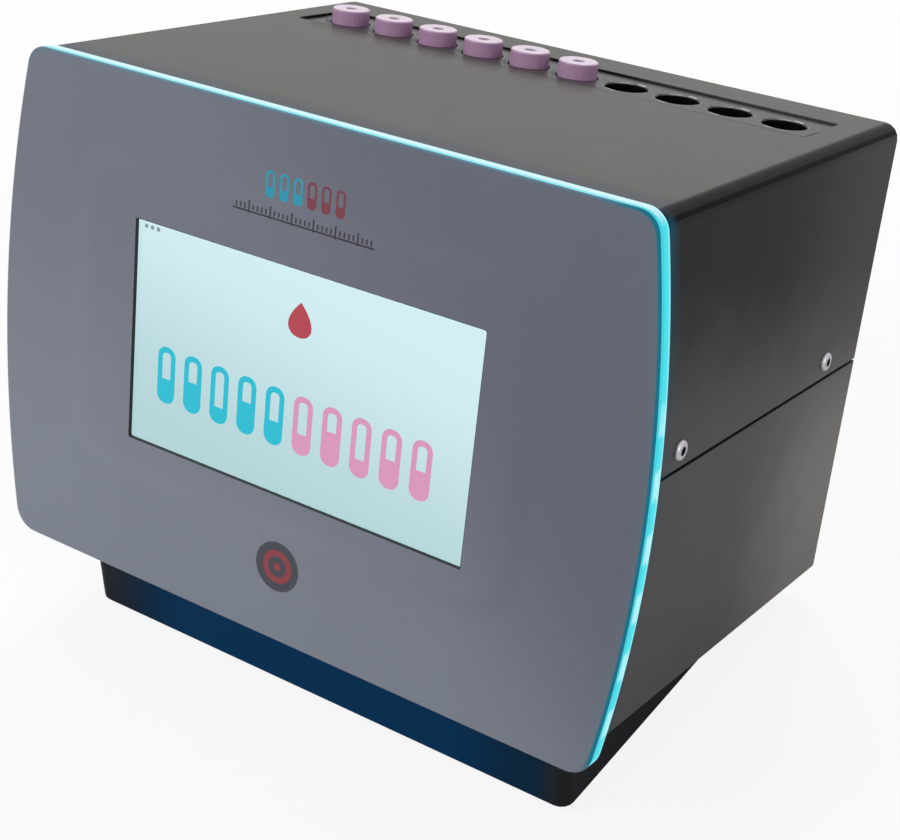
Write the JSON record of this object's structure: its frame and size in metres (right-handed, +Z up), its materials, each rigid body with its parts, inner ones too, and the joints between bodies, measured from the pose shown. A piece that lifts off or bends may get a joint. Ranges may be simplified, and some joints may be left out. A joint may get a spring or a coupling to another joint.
{
  "type": "sedimentation rate analyzer",
  "caption": "Bench-top blood sedimentation analyzer: a leaning grey casing on a level plinth, with a touch screen, a lit edge and a row of holes for capped tubes.",
  "frame": {"origin": "on the surface that the feet stand on, under the middle of the outer box", "axes": "+X to the operator's right along the row of tubes, +Y to the back panel, +Z up; the casing's own upright leans back by 12 degrees from +Z"},
  "size_m": [0.2876, 0.2318, 0.2409],
  "materials": {
    "fascia_grey": "satin blue-grey paint on a moulded front",
    "casing_grey": "fine matt dark grey powder coat",
    "plinth_black": "fine textured black moulding",
    "light_guide": "clear acrylic lit from inside in turquoise",
    "black_plastic": "plain black moulding",
    "deck_grey": "fine matt grey moulding",
    "cap_lilac": "pale lilac moulded caps with fine ribs",
    "tube_glass": "clear polished glass",
    "screen_glass": "flat polished touch glass",
    "screen_panel": "lit pale cyan display panel",
    "steel": "bright turned steel",
    "aluminium": "plain sheet aluminium",
    "brass": "plain turned brass",
    "board_green": "green circuit board",
    "rubber_black": "matt black rubber"
  },
  "bodies": {
    "root": {"base_plinth": "plinth_black", "display_board": "board_green", "display_bracket": "aluminium", "display_panel": "screen_panel", "fascia": "fascia_grey", "foot_front_left": "rubber_black", "foot_front_right": "rubber_black", "foot_rear_left": "rubber_black", "foot_rear_right": "rubber_black", "front_frame": "black_plastic", "guide_rod_left": "steel", "guide_rod_right": "steel", "led_ring": "board_green", "light_guide": "light_guide", "lower_housing": "casing_grey", "main_board": "board_green", "power_inlet": "black_plastic", "power_supply": "aluminium", "rack_base": "black_plastic", "rack_leg_left": "aluminium", "rack_leg_right": "aluminium", "sample_tube_1": "tube_glass", "sample_tube_2": "tube_glass", "sample_tube_3": "tube_glass", "sample_tube_4": "tube_glass", "sample_tube_5": "tube_glass", "sample_tube_6": "tube_glass", "scan_motor": "black_plastic", "screw_bearing": "steel", "serial_port": "steel", "side_screw_left_front": "steel", "side_screw_left_rear": "steel", "side_screw_right_front": "steel", "side_screw_right_rear": "steel", "switch_body": "black_plastic", "touch_glass": "screen_glass", "tube_cap_1": "cap_lilac", "tube_cap_2": "cap_lilac", "tube_cap_3": "cap_lilac", "tube_cap_4": "cap_lilac", "tube_cap_5": "cap_lilac", "tube_cap_6": "cap_lilac", "tube_deck": "deck_grey", "upper_housing": "casing_grey", "usb_port": "steel"},
    "scan_carriage": {"scan_carriage": "aluminium", "guide_bush_left": "brass", "guide_bush_right": "brass", "lead_nut": "brass", "emitter_board": "board_green", "detector_board": "board_green"},
    "lead_screw": {"lead_screw": "steel"},
    "power_rocker": {"switch_rocker": "black_plastic"}
  },
  "joints": [
    {"name": "carriage_slide", "type": "slide", "parent": "root", "child": "scan_carriage", "axis": [0, 0.2079, 0.9781], "range_m": [0, 0.037]},
    {"name": "screw_spin", "type": "hinge", "parent": "root", "child": "lead_screw", "pos_m": [0, 0.03716, 0.13592], "axis": [0, 0.2079, 0.9781], "range_deg": [-1670, 0]},
    {"name": "rocker_hinge", "type": "hinge", "parent": "root", "child": "power_rocker", "pos_m": [0.036, 0.08735, 0.0541], "axis": [1, 0, 0], "range_deg": [-20, 0]}
  ],
  "couplings": [
    {"joint": "screw_spin", "follows": "carriage_slide", "rad_per_m": -785.4}
  ]
}
